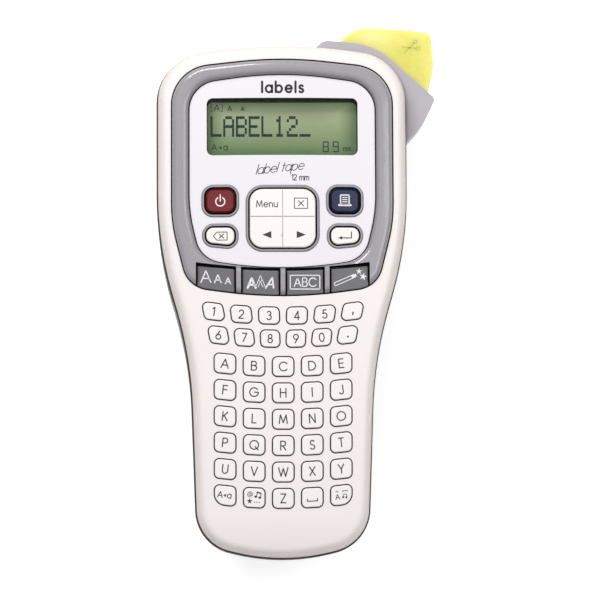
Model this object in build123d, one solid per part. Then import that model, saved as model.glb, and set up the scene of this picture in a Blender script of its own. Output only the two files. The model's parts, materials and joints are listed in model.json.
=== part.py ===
from build123d import *

from functools import lru_cache
from math import acos, asin, cos, degrees, pi, radians, sin, tan
import os

# Handheld label maker, modelled as an assembly of separate pieces.
# +Z is the front normal (keys and display face up), +Y points to the display end, X is across.
# The origin lies on the rear resting face, on the body's centreline, at the middle of its length.
# All lengths are millimetres and all angles are degrees.

# ---------------------------------------------------------------- driving dimensions
WALL = 2.2  # wall of both casing halves
PARTING_Z = 40.0  # where the rear casing meets the front casing
FRONT_Z = 56.4  # highest point of the white front casing
RING_Z = 58.0  # highest point of the grey bezel ring, and of the whole object
CROWN_X_RADIUS = 260.0  # crown of the front across the body
CROWN_Y_RADIUS = 900.0  # crown of the front along the body
CROWN_Y = 25.0  # where the front is highest
END_ROLL_RADIUS = 60.0  # the front rolls away faster at the grip end
END_ROLL_Y = -84.0
FRONT_EDGE_RADIUS = 5.0
REAR_EDGE_RADIUS = 5.0
EDGE_STEP = 1.4  # extra inset that keeps the wall thick behind a rounded edge
FRONT_INSET = 0.7  # the white casing stands inside the grey one by this much

# Casing outline, right half from top to bottom: corner x, corner y, fillet radius
BODY_OUTLINE = [
    (0, 102.0, 225),
    (48.9, 95.8, 20),
    (48.9, 22.5, 140),
    (36.1, -22, 160),
    (33.6, -94.2, 17.5),
    (0, -102.3, 78),
]
# Underside seen from the side: y, z, fillet radius
UNDERSIDE = [(-125, 25.5, 0), (-45, 19, 25), (-26, 0, 9), (125, 0, 0)]

# Bezel ring and display panel outlines, right halves
RING_OUTLINE = [(0, 94.5, 165), (42.9, 90.2, 15.5), (42.9, 30, 60), (36.6, 4.9, 11), (0, -0.4, 165)]
PANEL_OUTLINE = [(0, 88.7, 140), (36.0, 84.0, 11.5), (36.0, 34, 60), (31.6, 15.6, 11), (0, 10.5, 140)]

WINDOW_CENTRE_Y = 67.3
WINDOW_SIZE = (58.6, 22.5)
WINDOW_RADIUS = 2.4
PANEL_THICKNESS = 2.0
BASE_TOP = FRONT_Z - WALL - 0.1  # base plate of the bezel moulding, under the panel
BASE_THICKNESS = 1.5
LENS_THICKNESS = 1.3
GLASS_Z = (46.4, 48.7)

# Panel keys: name, centre x, centre y, width, height, corner radius, slant of the lower edge
PANEL_KEYS = [
    ("power_key", -24.1, 38.2, 11.5, 9.6, 3.0, 0.0),
    ("print_key", 24.1, 38.2, 11.5, 9.6, 3.0, 0.0),
    ("backspace_key", -24.1, 24.3, 11.0, 7.1, 2.8, -1.2),
    ("enter_key", 24.1, 24.3, 11.0, 7.1, 2.8, 1.2),
    ("menu_pad", 0.0, 31.3, 25.5, 22.9, 5.0, 0.0),
]
SURROUND_WIDTH = 0.9  # grey rim round each panel key
PANEL_KEY_GAP = 0.6
KEY_TRAVEL = 1.2

# Four grey function keys in the lower band of the ring: name, left x, right x
FUNCTION_KEYS = [
    ("text_size_key", -33.6, -18.0),
    ("text_style_key", -16.2, -0.9),
    ("frame_key", 0.9, 16.2),
    ("decoration_key", 18.0, 33.6),
]
FUNCTION_TOP_Y = 12.0
FUNCTION_TOP_ARC = 240.0
FUNCTION_SIDE_GAP = 0.45
FUNCTION_TOP_GAP = 1.0
FUNCTION_OUTER_GAP = 0.15

# Typing keys: rows follow an arc that sags in the middle
ROW_ARC_RADIUS = 200.0
NUMBER_ROWS_Y = (-6.5, -15.4)
NUMBER_PITCH = (10.72, 9.95)
NUMBER_KEY = (7.7, 6.3)
LETTER_FIRST_Y = -26.1
LETTER_ROW_PITCH = 10.13
LETTER_PITCH = 11.2
LETTER_KEY = (8.0, 7.3)
LETTER_ROWS = 6
KEY_CORNER = 1.8
LAST_ROW_CORNER = 4.3
TYPING_GAP = 0.45
KEY_PROUD = 0.45  # typing keys stand above the casing by this much
KEY_CAP_DEPTH = 2.7
KEY_EDGE = 0.45
STEM_INSET = 1.2

BOARD_Z = (40.2, 41.8)
STEM_LOW = BOARD_Z[1] + KEY_TRAVEL + 0.3
MAT_DEPTH = (4.1, 5.2)  # keypad mat below the front surface, top and bottom

# Cutter at the display end
GUARD_OUTLINE = [
    (11.5, 98.6, 0), (16.8, 103.2, 4), (36.5, 101.6, 28), (60.4, 80.2, 2), (55.5, 70.5, 30),
    (46.2, 60.0, 0), (46.0, 80.5, 10), (38.5, 94.0, 6), (12.0, 96.4, 0),
]
GUARD_Z = (20.5, 39.8)
GUARD_WALL = 2.0
LEVER_PIVOT = (50.5, 77.0)
LEVER_OUTLINE = [
    (17.5, 98.8, 1.5), (29.8, 109.2, 16), (58.9, 106.9, 3.6), (60.0, 92.0, 20), (56.0, 77.0, 6),
    (51.5, 71.8, 2), (46.0, 73.5, 3), (36.5, 82.0, 4), (33.0, 90.5, 6), (19.0, 94.5, 1.5),
]
LEVER_Z = (22.8, 37.5)
LEVER_SWING = 15.0
CARRIAGE_TRAVEL = 2.92
CARRIAGE_PIN = (40.0, 86.5)
TAPE_X = 35.0  # plane in which the label tape runs out to the exit slot
TAPE_Z = (5.0, 17.0)
TAPE_THICKNESS = 0.16

# Gear train
MODULE = 0.6
ADDENDUM = 0.6  # in modules
DEDENDUM = 1.15
PRESSURE_ANGLE = 20.0
BACKLASH = 0.16
CENTRE_PLAY = 0.05
RUNNING_CLEARANCE = 0.05
LOW_MESH = (25.0, 27.5)
MIDDLE_MESH = (28.5, 31.0)
HIGH_MESH = (32.0, 34.5)
PINION_TEETH = 10
FIRST_TEETH = (34, 12)
SECOND_TEETH = (30, 12)
PLATEN_TEETH = 16
RIBBON_TEETH = 20
MOTOR_AXIS = (40.25, 35.5)
FIRST_DIRECTION = 123.0  # direction of each axis seen from the one that drives it
SECOND_DIRECTION = 88.6
PLATEN_DIRECTION = 43.8
RIBBON_DIRECTION = 165.6
AXLE_RADIUS = 1.0
PLATEN_RADIUS = 4.2
HOLDER_PIVOT = (42.0, 46.0)

# Cassette, batteries and casing screws
TRAY_Z = (21.0, 22.4)  # floor above the cassette
BATTERY_ROOF_Z = (14.3, 15.8)
CASSETTE_X = (-40.5, 33.0)
CASSETTE_Y = (28.6, 83.2)
CASSETTE_Z = (3.4, 20.6)
CASSETTE_WALL = 1.2
TAPE_SPOOL_AXIS = (-20.0, 56.0)
TAPE_ROLL_RADIUS = 17.0
RIBBON_SUPPLY_AXIS = (11.0, 70.5)
BATTERY_RADIUS = 5.25
BATTERY_LENGTH = 44.0
BATTERY_NUB = 0.8
BATTERY_PITCH = 10.55
BATTERY_Z = 8.6
BATTERY_BAY_Y = (-20.8, 27.2)
CONTACT_THICKNESS = 0.4
SPRING_LENGTH = 2.6
SCREWS = [(-22.0, -86.0), (22.0, -86.0), (-31.5, -46.0), (31.5, -46.0)]
SCREW_SEAT_Z = 31.0
SCREW_END_Z = 44.5
JACK_Y = 4.0
JACK_Z = 30.0

parts = {}


# ---------------------------------------------------------------- shape helpers
def closed(corners):
    """Face inside a polygon of (x, y, fillet radius) corners."""
    points = [(x, y) for x, y, _ in corners]
    line = FilletPolyline(*points, radius=[r for *_, r in corners], close=True)
    return make_face(line.edges())


def mirrored(half):
    """Face of a symmetric outline, from its right half that starts and ends on the centreline."""
    return closed(half + [(-x, y, r) for x, y, r in reversed(half[1:-1])])


def grown(face, amount):
    """The face with its outline moved outwards, or inwards if amount is negative."""
    return offset(face, amount=amount)


def prism(face, low, high):
    """Straight prism of a face lying in XY, between two heights."""
    return Pos(0, 0, low) * extrude(face, high - low)


def block(x, y, z):
    """Box from three (low, high) pairs."""
    size = [high - low for low, high in (x, y, z)]
    middle = [(low + high) / 2 for low, high in (x, y, z)]
    return Pos(*middle) * Box(*size)


def rod(centre, z, radius):
    """Upright cylinder between a (low, high) pair of heights."""
    return Pos(centre[0], centre[1], (z[0] + z[1]) / 2) * Cylinder(radius, z[1] - z[0])


def tube(centre, z, outer, inner):
    return rod(centre, z, outer) - rod(centre, (z[0] - 1, z[1] + 1), inner)


def rectangle(centre, size, radius):
    return Pos(*centre) * RectangleRounded(size[0], size[1], radius)


@lru_cache(maxsize=None)
def crowned(top):
    """Everything below the crowned front surface whose highest point is at this height."""
    turn = degrees(asin((CROWN_Y - END_ROLL_Y) / CROWN_Y_RADIUS))
    reach = CROWN_Y_RADIUS - END_ROLL_RADIUS
    centre_z = top - CROWN_Y_RADIUS
    axis_z = top - CROWN_X_RADIUS
    roll_centre = (CROWN_Y - reach * sin(radians(turn)), centre_z + reach * cos(radians(turn)))
    with BuildSketch(Plane.YZ) as profile:
        with BuildLine():
            main = CenterArc((CROWN_Y, centre_z), CROWN_Y_RADIUS, 84, 6 + turn)
            roll = CenterArc(roll_centre, END_ROLL_RADIUS, 90 + turn, 35)
            Polyline(roll @ 1, ((roll @ 1).X, axis_z), ((main @ 0).X, axis_z), main @ 0)
        make_face()
    axis = Axis((0, 0, axis_z), (0, 1, 0))
    return revolve(profile.sketch, axis, 360).rotate(axis, 180)


def crowned_prism(face, low, top):
    """Upright prism whose upper end lies on the crowned surface of that height."""
    return prism(face, low, top + 5) & crowned(top)


def crowned_sheet(face, bottom, top):
    """Plate between two crowned surfaces."""
    return crowned_prism(face, 20, top) - crowned(bottom)


def top_edges(solid):
    return solid.faces().sort_by(Axis.Z)[-1].edges()


def single(shape):
    """The only solid of a result, so that a stray second piece is noticed at once."""
    solids = shape.solids()
    if len(solids) != 1:
        raise ValueError(f"expected one solid, got {len(solids)}: {[round(s.volume, 2) for s in solids]}")
    return solids[0]


# ---------------------------------------------------------------- casing
def underside_block(lift):
    """Everything above the underside profile, moved inwards by lift."""
    points = [(y, z) for y, z, _ in UNDERSIDE]
    with BuildSketch(Plane.YZ) as profile:
        with BuildLine():
            path = FilletPolyline(*points, radius=[r for *_, r in UNDERSIDE[1:-1]])
            Polyline(path @ 1, (125, 70), (-125, 70), path @ 0)
        make_face()
    face = grown(profile.sketch, -lift) if lift else profile.sketch
    return extrude(face, 60, both=True)


def rear_slab(side_inset, lift):
    """Rear casing form with separate insets for the side wall and for the underside."""
    outline = mirrored(BODY_OUTLINE)
    if side_inset:
        outline = grown(outline, -side_inset)
    return prism(outline, -5, PARTING_Z) & underside_block(lift)


def rear_cavity():
    return rear_slab(WALL, WALL + EDGE_STEP) + rear_slab(WALL + EDGE_STEP, WALL)


def rear_solid():
    """Rear casing form with its lower edge rounded."""
    solid = rear_slab(0, 0)
    low_edges = [e for e in solid.edges() if e.bounding_box().max.Z < PARTING_Z - 1]
    rim = [e for e in low_edges if abs((e @ 0.5).X) > 1]
    rim = [e for e in rim if not (e.geom_type == GeomType.LINE and abs((e % 0.5).X) > 0.99)]
    return fillet(rim, REAR_EDGE_RADIUS)


def cover_outline(gap=0.0):
    """Outline of the rear cover, following the casing, grown by gap."""
    flat = grown(mirrored(BODY_OUTLINE), -REAR_EDGE_RADIUS - 0.2)
    shape = flat & Pos(0, 35.3) * Rectangle(120, 113.6)
    shape = fillet(shape.vertices().sort_by(Axis.Y)[:2], 3)
    return grown(shape, gap) if gap else shape


def make_rear_shell():
    outer = rear_solid()
    shell = outer - rear_cavity()
    for centre in SCREWS:
        shell += rod(centre, (0, PARTING_Z - 0.1), 4.0) & rear_slab(0.6, 0.6)
        shell -= rod(centre, (-1, SCREW_SEAT_Z), 2.9)
        shell -= rod(centre, (30, 60), 1.6)
    shell -= prism(cover_outline(0.25), -1, WALL + 0.5)
    # Ledge that catches the cover's tab, label exit slot, cutter opening, power socket opening
    shell += block((-14, 14), (90.6, 97.0), (WALL + 0.1, WALL + 1.5))
    slot_z = (TAPE_Z[0] - 1.2, TAPE_Z[1] + 1.2)
    shell -= block((TAPE_X - 1.3, TAPE_X + 1.3), (88, 112), slot_z)
    shell -= prism(grown(closed(GUARD_OUTLINE), 0.1), GUARD_Z[0] - 0.1, PARTING_Z + 1)
    shell -= Pos(-42, JACK_Y, JACK_Z) * Rot(0, 90, 0) * Cylinder(4.3, 20)
    parts["rear_shell"] = single(shell)


def make_rear_cover():
    """Removable cover over batteries and cassette, with a locating rim, a tab and grip ribs."""
    cover = prism(cover_outline(), 0, WALL)
    rim = grown(cover_outline(), -0.3) - grown(cover_outline(), -1.5)
    cover += prism(rim, WALL - 0.1, WALL + 1.0) & block((-60, 60), (-60, 88), (0, 10))
    for row in range(6):
        y = 84 - 2.4 * row
        cover += block((-11, 11), (y - 0.5, y + 0.5), (WALL - 0.1, WALL + 0.6))
        cover -= block((-11, 11), (y - 1.7, y - 0.7), (-1, 0.5))
    parts["rear_cover"] = single(cover)


@lru_cache(maxsize=None)
def typing_keys():
    """Outlines of the typing keys: row name to a tuple of faces."""

    def key_face(column, y, pitch_at, size, corners=(0, 0, 0, 0)):
        points = []
        for (side, end), radius in zip(((-1, -1), (1, -1), (1, 1), (-1, 1)), corners):
            corner_y = y + end * size[1] / 2
            x = column * pitch_at(corner_y) + side * size[0] / 2
            points.append((x, corner_y + x * x / (2 * ROW_ARC_RADIUS), radius or KEY_CORNER))
        return closed(points)

    def number_pitch(y):
        slope = (NUMBER_PITCH[0] - NUMBER_PITCH[1]) / (NUMBER_ROWS_Y[0] - NUMBER_ROWS_Y[1])
        return NUMBER_PITCH[0] + slope * (y - NUMBER_ROWS_Y[0])

    rows = {}
    for name, y in zip(("number_keys_upper", "number_keys_lower"), NUMBER_ROWS_Y):
        size = (NUMBER_KEY[0] * number_pitch(y) / NUMBER_PITCH[0], NUMBER_KEY[1])
        rows[name] = tuple(key_face(c - 2.5, y, number_pitch, size) for c in range(6))
    for row in range(LETTER_ROWS):
        y = LETTER_FIRST_Y - row * LETTER_ROW_PITCH
        faces = []
        for column in (-2, -1, 0, 1, 2):
            corners = [0, 0, 0, 0]
            if row == LETTER_ROWS - 1 and abs(column) == 2:
                corners[0 if column < 0 else 1] = LAST_ROW_CORNER
            faces.append(key_face(column, y, lambda _: LETTER_PITCH, LETTER_KEY, corners))
        rows[f"letter_keys_row_{row + 1}"] = tuple(faces)
    return rows


def front_slab(side_inset, drop):
    """Front casing form with separate insets for the side wall and for the front."""
    outline = grown(mirrored(BODY_OUTLINE), -(FRONT_INSET + side_inset))
    return crowned_prism(outline, PARTING_Z, FRONT_Z - drop)


def front_solid():
    """Front casing form with its front edge rounded."""
    solid = front_slab(0, 0)
    fence = grown(mirrored(BODY_OUTLINE), -(FRONT_INSET + 0.5)).face()
    rim = []
    for edge in solid.edges():
        middle = edge @ 0.5
        on_side = not fence.is_inside(Vector(middle.X, middle.Y, 0))
        if edge.bounding_box().min.Z > PARTING_Z + 1 and on_side:
            rim.append(edge)
    return fillet(rim, FRONT_EDGE_RADIUS)


def make_front_shell():
    shell = front_solid() - (front_slab(WALL, WALL + EDGE_STEP) + front_slab(WALL + EDGE_STEP, WALL))
    for centre in SCREWS:
        boss = tube(centre, (PARTING_Z + 0.05, FRONT_Z), 2.6, 0.5) & front_slab(WALL / 2, WALL / 2)
        shell += boss
        shell -= rod(centre, (PARTING_Z - 1, SCREW_END_Z + 0.5), 1.45)
    shell -= prism(grown(mirrored(RING_OUTLINE), 0.3), PARTING_Z + 2, 70)
    for faces in typing_keys().values():
        for face in faces:
            shell -= prism(grown(face, TYPING_GAP), PARTING_Z + 2, 70)
    parts["front_shell"] = single(shell)


# ---------------------------------------------------------------- bezel, panel and display
@lru_cache(maxsize=None)
def panel_key_face(name):
    key = next(entry for entry in PANEL_KEYS if entry[0] == name)
    _, x, y, width, height, radius, slant = key
    left, right, low, high = x - width / 2, x + width / 2, y - height / 2, y + height / 2
    return closed([
        (left, low - min(0, slant), radius), (right, low + max(0, slant), radius),
        (right, high, radius), (left, high, radius),
    ])


def function_face(left, right, side_gap=0.0, top_gap=0.0, outer_gap=0.0):
    """One function key area: below an arc, inside the ring's lower edge."""
    ring = mirrored(RING_OUTLINE)
    if outer_gap:
        ring = grown(ring, -outer_gap)
    slab = Pos((left + right) / 2, 5) * Rectangle(right - left - 2 * side_gap, 60)
    above = Pos(0, FUNCTION_TOP_Y + FUNCTION_TOP_ARC) * Circle(FUNCTION_TOP_ARC + top_gap)
    return (ring & slab) - above


def make_bezel():
    ring_face = mirrored(RING_OUTLINE)
    ring = crowned_sheet(ring_face - mirrored(PANEL_OUTLINE), BASE_TOP - BASE_THICKNESS, RING_Z)
    ring = fillet(top_edges(ring), 2.8)
    base = crowned_sheet(grown(ring_face, 1.1), BASE_TOP - BASE_THICKNESS, BASE_TOP)
    frame = ring + base
    for name, *_ in PANEL_KEYS:
        face = grown(panel_key_face(name), PANEL_KEY_GAP + SURROUND_WIDTH)
        rim = crowned_sheet(face, BASE_TOP - 0.5, FRONT_Z + 0.15)
        frame += chamfer(top_edges(rim), 0.4)
    for name, *_ in PANEL_KEYS:
        frame -= prism(grown(panel_key_face(name), PANEL_KEY_GAP), 30, 80)
    for _, left, right in FUNCTION_KEYS:
        frame -= prism(function_face(left, right), 30, 80)
    frame -= prism(grown(lens_face(), 0.15), 30, 80)
    parts["bezel_frame"] = single(frame)


def lens_face():
    return rectangle((0, WINDOW_CENTRE_Y), (WINDOW_SIZE[0] + 4, WINDOW_SIZE[1] + 4), 3.0)


def make_display():
    panel_low = BASE_TOP + 0.02
    panel = crowned_sheet(grown(mirrored(PANEL_OUTLINE), -0.08), panel_low, panel_low + PANEL_THICKNESS)
    panel -= prism(rectangle((0, WINDOW_CENTRE_Y), WINDOW_SIZE, WINDOW_RADIUS), 30, 80)
    for name, *_ in PANEL_KEYS:
        panel -= prism(grown(panel_key_face(name), PANEL_KEY_GAP + SURROUND_WIDTH + 0.06), 30, 80)
    parts["display_panel"] = single(panel)
    parts["display_window"] = single(crowned_sheet(lens_face(), BASE_TOP - LENS_THICKNESS, BASE_TOP))

    centre = (0, WINDOW_CENTRE_Y - 0.5)
    glass = rectangle(centre, (60.4, 23.6), 0.8)
    parts["lcd_glass"] = single(prism(glass, *GLASS_Z))
    frame = prism(rectangle((0, WINDOW_CENTRE_Y), (62.6, 26.0), 1.5), GLASS_Z[0] - 1.0, GLASS_Z[1] + 0.4)
    opening = rectangle(centre, (WINDOW_SIZE[0] - 0.6, WINDOW_SIZE[1] - 1.3), 2.2)
    frame -= prism(opening, 30, 80)
    frame -= prism(grown(glass, 0.1), GLASS_Z[0] - 0.02, GLASS_Z[1] + 0.02)
    for x in (-30, 30):
        for y in (-11.7, 11.7):
            frame += rod((x, WINDOW_CENTRE_Y + y), (BOARD_Z[1], GLASS_Z[0] - 0.5), 1.1)
    parts["lcd_frame"] = single(frame)

    # Flexible cable from the glass down to the board
    with BuildSketch(Plane.YZ) as strip:
        with BuildLine():
            high, low = GLASS_Z[0] - 0.12, BOARD_Z[1] + 0.12
            FilletPolyline((64, high), (59.5, high), (56.8, low), (49, low), radius=1.0)
        trace(line_width=0.2)
    cable = extrude(strip.sketch, 11, both=True)
    parts["lcd_flex_cable"] = single(cable)


# ---------------------------------------------------------------- keys, mat and board
def make_panel_keys():
    for name, *_ in PANEL_KEYS:
        face = panel_key_face(name)
        top = FRONT_Z + 0.35
        cap = crowned_prism(face, 46, top)
        if name in ("power_key", "print_key"):
            cap = chamfer(top_edges(cap), 0.85)
        else:
            cap = fillet(top_edges(cap), 0.7)
        if name == "menu_pad":
            _, x, y, width, height, *_ = PANEL_KEYS[-1]
            grooves = Pos(x, y + 0.7) * Rectangle(width, 0.35) + Pos(x, y) * Rectangle(0.25, height)
            cap -= prism(grooves, 50, 80) - crowned(top - 0.3)
        parts[name] = single(cap + prism(grown(face, -2.2), STEM_LOW, 46.5))


def make_function_keys():
    for name, left, right in FUNCTION_KEYS:
        face = function_face(left, right, FUNCTION_SIDE_GAP, FUNCTION_TOP_GAP, FUNCTION_OUTER_GAP)
        sides = (left + FUNCTION_SIDE_GAP, right - FUNCTION_SIDE_GAP)
        corners = [v for v in face.vertices() if min(abs(v.X - side) for side in sides) < 0.01]
        face = fillet(corners, 0.7)
        cap = crowned_prism(face, 46, FRONT_Z + 0.2)
        cap = fillet(top_edges(cap), 0.5)
        middle = (left + right) / 2
        stem = block((middle - 4.5, middle + 4.5), (4.8, 8.8), (STEM_LOW, 47))
        parts[name] = single(cap + stem)


def make_typing_keys():
    top = FRONT_Z + KEY_PROUD
    for name, faces in typing_keys().items():
        keys = []
        for face in faces:
            cap = fillet(top_edges(crowned_sheet(face, top - KEY_CAP_DEPTH, top)), KEY_EDGE)
            stem = crowned_prism(grown(face, -STEM_INSET), STEM_LOW, top - KEY_CAP_DEPTH + 0.5)
            keys.append(single(cap + stem))
        parts[name] = Compound(children=keys)


def make_keypad_mat():
    """Silicone sheet under the typing keys, with a hole for each stem."""
    outline = mirrored([
        (0, 0.2, 0), (33, 0.2, 3), (33, -20, 6), (28.2, -27, 6), (28.2, -83.0, 5), (0, -83.0, 0),
    ])
    mat = crowned_sheet(outline, FRONT_Z - MAT_DEPTH[1], FRONT_Z - MAT_DEPTH[0])
    for faces in typing_keys().values():
        for face in faces:
            mat -= prism(grown(face, -STEM_INSET + 0.35), 30, 80)
    parts["keypad_mat"] = single(mat)


def make_main_board():
    outline = mirrored([
        (0, 88, 0), (43.4, 88, 12), (43.4, 24, 80), (30.6, -24, 80), (28.0, -91.7, 8), (0, -91.7, 0),
    ])
    board = prism(outline, *BOARD_Z)
    for centre in SCREWS:
        board -= rod(centre, (BOARD_Z[0] - 1, BOARD_Z[1] + 1), 2.9)
    low = BOARD_Z[0]
    for x, y, width, height, thick in (
        (-18, -34, 14, 14, 1.6), (4, -36, 9, 6, 1.5), (-4, 8, 12, 8, 1.6),
        (-24, 16, 5, 8, 2.4), (14, -10, 4, 9, 3.0),
    ):
        x_range = (x - width / 2, x + width / 2)
        y_range = (y - height / 2, y + height / 2)
        board += block(x_range, y_range, (low - thick, low + 0.1))
    parts["main_board"] = single(board)


# ---------------------------------------------------------------- power
def battery_columns():
    """x and direction of the positive end of each cell."""
    return [((i - 2.5) * BATTERY_PITCH, 1 if i % 2 else -1) for i in range(6)]


def make_batteries():
    cells = []
    for x, direction in battery_columns():
        bay_end = BATTERY_BAY_Y[1] if direction > 0 else BATTERY_BAY_Y[0]
        tip = bay_end - direction * (CONTACT_THICKNESS + 0.6)
        body_length = BATTERY_LENGTH - BATTERY_NUB
        body = Cylinder(BATTERY_RADIUS, body_length)
        body = fillet(body.edges(), 0.5)
        cell = body + Pos(0, 0, body_length / 2 + BATTERY_NUB / 2 - 0.1) * Cylinder(1.9, BATTERY_NUB + 0.2)
        cell = Rot(-90 * direction, 0, 0) * cell
        cell = Pos(x, tip - direction * (BATTERY_NUB + body_length / 2), BATTERY_Z) * cell
        cells.append(single(cell))
    parts["batteries"] = Compound(children=cells)


def make_battery_contacts():
    """Plates bridging pairs of cells, a dome for each positive end, a coil for each negative end."""
    pieces = []
    columns = battery_columns()
    for end in (0, 1):
        wall_y = BATTERY_BAY_Y[end]
        inward = 1 if end == 0 else -1
        pairs = ((0, 1), (2, 3), (4, 5)) if end == 0 else ((0, 0), (1, 2), (3, 4), (5, 5))
        for first, last in pairs:
            x_low, x_high = columns[first][0] - 4.2, columns[last][0] + 4.2
            y_range = sorted((wall_y, wall_y + inward * CONTACT_THICKNESS))
            piece = block((x_low, x_high), y_range, (BATTERY_Z - 4, BATTERY_Z + 4))
            for x, direction in columns[first:last + 1]:
                face_y = wall_y + inward * CONTACT_THICKNESS
                if (direction > 0) == (end == 1):
                    dome = Pos(x, face_y + inward * 0.3, BATTERY_Z) * Rot(90, 0, 0) * Cylinder(1.6, 0.6)
                    piece += dome
                else:
                    path = Helix(pitch=1.1, height=SPRING_LENGTH - 0.4, radius=3.0)
                    start = Plane(path @ 0, z_dir=path % 0)
                    coil = sweep(start * Circle(0.3), path)
                    coil = Rot(-90 * inward, 0, 0) * coil
                    piece += Pos(x, face_y + inward * 0.1, BATTERY_Z) * coil
            pieces += piece.solids()
    parts["battery_contacts"] = Compound(children=pieces)


def make_dc_jack():
    body = block((-39.0, -29.5), (JACK_Y - 4.5, JACK_Y + 4.5), (JACK_Z - 4.5, JACK_Z + 4.5))
    barrel = Pos(-40.6, JACK_Y, JACK_Z) * Rot(0, 90, 0) * Cylinder(4.15, 3.4)
    bore = Pos(-38, JACK_Y, JACK_Z) * Rot(0, 90, 0) * Cylinder(2.75, 15)
    pin = Pos(-35.5, JACK_Y, JACK_Z) * Rot(0, 90, 0) * Cylinder(0.8, 11)
    parts["dc_jack"] = single(body + barrel - bore + pin)


# ---------------------------------------------------------------- inner tray and cassette
def meshed(axis, teeth, direction):
    """Axis of a wheel that meshes with the wheel on the given axis."""
    distance = MODULE * sum(teeth) / 2 + CENTRE_PLAY
    return (axis[0] + distance * cos(radians(direction)), axis[1] + distance * sin(radians(direction)))


FIRST_AXIS = meshed(MOTOR_AXIS, (PINION_TEETH, FIRST_TEETH[0]), FIRST_DIRECTION)
SECOND_AXIS = meshed(FIRST_AXIS, (FIRST_TEETH[1], SECOND_TEETH[0]), SECOND_DIRECTION)
PLATEN_AXIS = meshed(SECOND_AXIS, (SECOND_TEETH[1], PLATEN_TEETH), PLATEN_DIRECTION)
RIBBON_AXIS = meshed(SECOND_AXIS, (SECOND_TEETH[1], RIBBON_TEETH), RIBBON_DIRECTION)


def make_tray():
    """Moulding that roofs the battery bay and the cassette bay and carries the print mechanism."""
    inside = grown(mirrored(BODY_OUTLINE), -WALL - 0.4)
    low, high = BATTERY_ROOF_Z
    bay = block((-33.0, 33.0), (BATTERY_BAY_Y[0] - 1.2, 28.4), (4.8, high))
    bay -= block((-32.0, 32.0), BATTERY_BAY_Y, (0, low))
    floor = (inside & Pos(0, 57.7) * Rectangle(120, 61)) - grown(closed(GUARD_OUTLINE), 0.4)
    tray = bay + prism(floor, *TRAY_Z)
    tray += block((-42.6, 33.4), (27.2, 28.4), (4.8, TRAY_Z[1]))
    tray += block((-42.6, -41.4), (27.2, 87), (4.8, TRAY_Z[1]))
    tray += block((-42.6, 28.5), (85.8, 87), (4.8, TRAY_Z[1])) & prism(inside, 0, 30)
    tray -= block((33.0, 46.5), (83.5, 92), (15, 25))
    for axis, top, hole in (
        (FIRST_AXIS, MIDDLE_MESH[0] - 0.3, AXLE_RADIUS),
        (SECOND_AXIS, LOW_MESH[0] - 0.3, AXLE_RADIUS),
        (RIBBON_AXIS, LOW_MESH[0] - 0.3, 2.0 + RUNNING_CLEARANCE),
    ):
        tray += rod(axis, (TRAY_Z[0], top), 2.2 if hole < 1.5 else 3.4)
        tray -= rod(axis, (TRAY_Z[0] - 1, 40), hole)
    tray -= rod(MOTOR_AXIS, (15, 30), 2.0)
    for shift in (0, 0.7, 1.4):
        tray -= rod((PLATEN_AXIS[0] + shift, PLATEN_AXIS[1]), (15, 30), 2.3)
    tray += block((-38.5, -30.0), (JACK_Y - 4, JACK_Y + 4), (high - 0.1, JACK_Z - 4.5))
    parts["compartment_tray"] = single(tray)


def make_cassette():
    wall = CASSETTE_WALL
    x, y, z = CASSETTE_X, CASSETTE_Y, CASSETTE_Z
    outer = fillet(block(x, y, z).edges().filter_by(Axis.Z), 3.0)
    notch = block((29.0, 40), (54, 78), (0, 30))
    outer -= notch
    inner = block((x[0] + wall, x[1] - wall), (y[0] + wall, y[1] - wall), (z[0] + wall, z[1] - wall))
    inner -= block((29.0 - wall, 40), (54 - wall, 78 + wall), (0, 30))
    case = outer - inner
    for axis in (TAPE_SPOOL_AXIS, RIBBON_SUPPLY_AXIS):
        case += rod(axis, (z[0] + 0.5, z[1] - 0.5), 2.5)
    case -= rod(RIBBON_AXIS, (z[1] - 3, z[1] + 1), 2.6)
    case -= block((x[1] - 3, x[1] + 1), (50.5, 53), (TAPE_Z[0] - 0.5, TAPE_Z[1] + 0.5))
    case -= block((-31, -9), (50, 62), (z[1] - wall - 1, z[1] + 1)) - rod(TAPE_SPOOL_AXIS, (0, 30), 3.6)
    parts["cassette_case"] = single(case)

    reach = TAPE_Z[0], TAPE_Z[1]
    hub = tube(TAPE_SPOOL_AXIS, reach, 9.0, 7.6) + tube(TAPE_SPOOL_AXIS, reach, 4.0, 2.5 + RUNNING_CLEARANCE)
    for spoke in range(3):
        arm = block((3.6, 8.0), (-0.6, 0.6), reach)
        hub += Pos(*TAPE_SPOOL_AXIS) * Rot(0, 0, 120 * spoke) * arm
    parts["tape_spool"] = single(hub)
    parts["label_roll"] = single(tube(TAPE_SPOOL_AXIS, reach, TAPE_ROLL_RADIUS, 9.0))
    strip = (TAPE_X - TAPE_THICKNESS / 2, TAPE_X + TAPE_THICKNESS / 2)
    parts["label_tape"] = single(block(strip, (54.0, 84.1), TAPE_Z))  # cut off just before the blade
    core = tube(RIBBON_SUPPLY_AXIS, (z[0] + wall + 0.3, z[1] - wall - 0.3), 7.5, 2.5 + RUNNING_CLEARANCE)
    parts["ribbon_supply_spool"] = single(core)
    parts["ribbon_takeup_spool"] = single(tube(RIBBON_AXIS, (z[0] + wall + 0.3, z[1] - wall - 0.3), 3.6, 2.0))


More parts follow.
